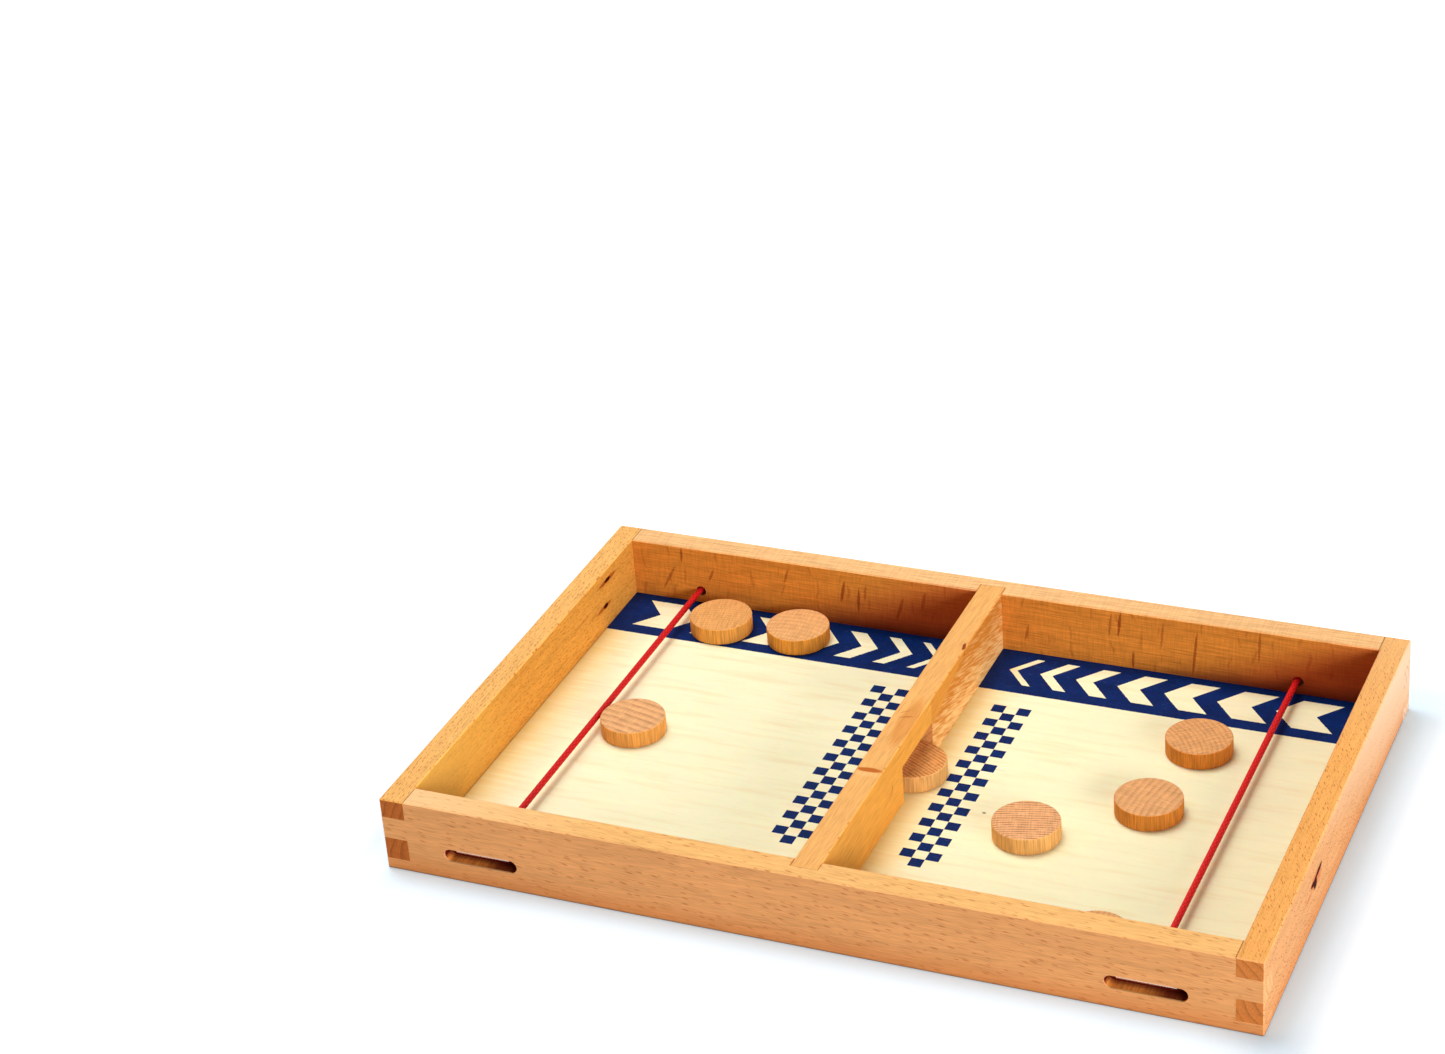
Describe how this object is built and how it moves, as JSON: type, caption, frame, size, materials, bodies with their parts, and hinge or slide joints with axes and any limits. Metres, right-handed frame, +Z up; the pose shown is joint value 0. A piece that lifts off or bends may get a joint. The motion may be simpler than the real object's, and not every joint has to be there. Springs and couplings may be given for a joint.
{
  "type": "sling puck game",
  "caption": "Finger-jointed wooden tray with a gated divider, a cord elastic across each end and loose disc pucks on a printed plywood floor.",
  "frame": {"origin": "centre of the underside of the rails, on the table", "axes": "+X along the board from its left end to its right end, +Y from the front rail to the back rail, +Z up"},
  "size_m": [0.26, 0.168, 0.024],
  "materials": {
    "frame_wood": "satin varnish",
    "floor_ply": "satin varnish, printed",
    "puck_wood": "sanded",
    "elastic_cord": "braided",
    "barb_metal": "bright"
  },
  "bodies": {
    "frame": {"front_rail": "frame_wood", "back_rail": "frame_wood", "left_rail": "frame_wood", "right_rail": "frame_wood", "centre_divider": "frame_wood", "floor_panel": "floor_ply", "elastic_end_left_front": "elastic_cord", "elastic_end_left_back": "elastic_cord", "elastic_end_right_front": "elastic_cord", "elastic_end_right_back": "elastic_cord", "barb_left_front": "barb_metal", "barb_left_back": "barb_metal", "barb_right_front": "barb_metal", "barb_right_back": "barb_metal"},
    "puck_1": {"puck_1": "puck_wood"},
    "puck_2": {"puck_2": "puck_wood"},
    "puck_3": {"puck_3": "puck_wood"},
    "puck_4": {"puck_4": "puck_wood"},
    "puck_5": {"puck_5": "puck_wood"},
    "puck_6": {"puck_6": "puck_wood"},
    "puck_7": {"puck_7": "puck_wood"},
    "puck_8": {"puck_8": "puck_wood"},
    "elastic_left_front": {"elastic_left_front": "elastic_cord"},
    "elastic_left_back": {"elastic_left_back": "elastic_cord"},
    "elastic_right_front": {"elastic_right_front": "elastic_cord"},
    "elastic_right_back": {"elastic_right_back": "elastic_cord"}
  },
  "joints": [
    {"name": "puck_1_slide", "type": "slide", "parent": "frame", "child": "puck_1", "axis": [-1, 0, 0], "range_m": [0, 0.016], "stiffness_N_per_m": 7},
    {"name": "puck_2_slide", "type": "slide", "parent": "frame", "child": "puck_2", "axis": [0, 1, 0], "range_m": [-0.043, 0.0036]},
    {"name": "puck_3_slide", "type": "slide", "parent": "frame", "child": "puck_3", "axis": [1, 0, 0], "range_m": [-0.0058, 0.0452]},
    {"name": "puck_4_slide", "type": "slide", "parent": "frame", "child": "puck_4", "axis": [1, 0, 0], "range_m": [-0.0698, 0.051]},
    {"name": "puck_5_slide", "type": "slide", "parent": "frame", "child": "puck_5", "axis": [1, 0, 0], "range_m": [-0.064, 0.0075]},
    {"name": "puck_6_slide", "type": "slide", "parent": "frame", "child": "puck_6", "axis": [0, 1, 0], "range_m": [-0.0464, 0.0144]},
    {"name": "puck_7_slide", "type": "slide", "parent": "frame", "child": "puck_7", "axis": [1, 0, 0], "range_m": [-0.0292, 0.0094]},
    {"name": "puck_8_slide", "type": "slide", "parent": "frame", "child": "puck_8", "axis": [1, 0, 0], "range_m": [-0.064, 0.0075]},
    {"name": "elastic_left_front_draw", "type": "hinge", "parent": "frame", "child": "elastic_left_front", "pos_m": [-0.09955, -0.0745, 0.0085], "axis": [0, 0, 1], "range_deg": [0, 12.7]},
    {"name": "elastic_left_back_draw", "type": "hinge", "parent": "frame", "child": "elastic_left_back", "pos_m": [-0.09955, 0.0745, 0.0085], "axis": [0, 0, -1], "range_deg": [0, 12.7]},
    {"name": "elastic_right_front_draw", "type": "hinge", "parent": "frame", "child": "elastic_right_front", "pos_m": [0.09745, -0.0745, 0.0085], "axis": [0, 0, -1], "range_deg": [0, 12.7], "stiffness_Nm_per_rad": 0.02},
    {"name": "elastic_right_back_draw", "type": "hinge", "parent": "frame", "child": "elastic_right_back", "pos_m": [0.09745, 0.0745, 0.0085], "axis": [0, 0, 1], "range_deg": [0, 12.7]}
  ],
  "couplings": [
    {"joint": "elastic_left_front_draw", "follows": "puck_1_slide", "rad_per_m": 13.8},
    {"joint": "elastic_left_back_draw", "follows": "puck_1_slide", "rad_per_m": 13.8},
    {"joint": "elastic_right_back_draw", "follows": "elastic_right_front_draw", "ratio": 1}
  ]
}
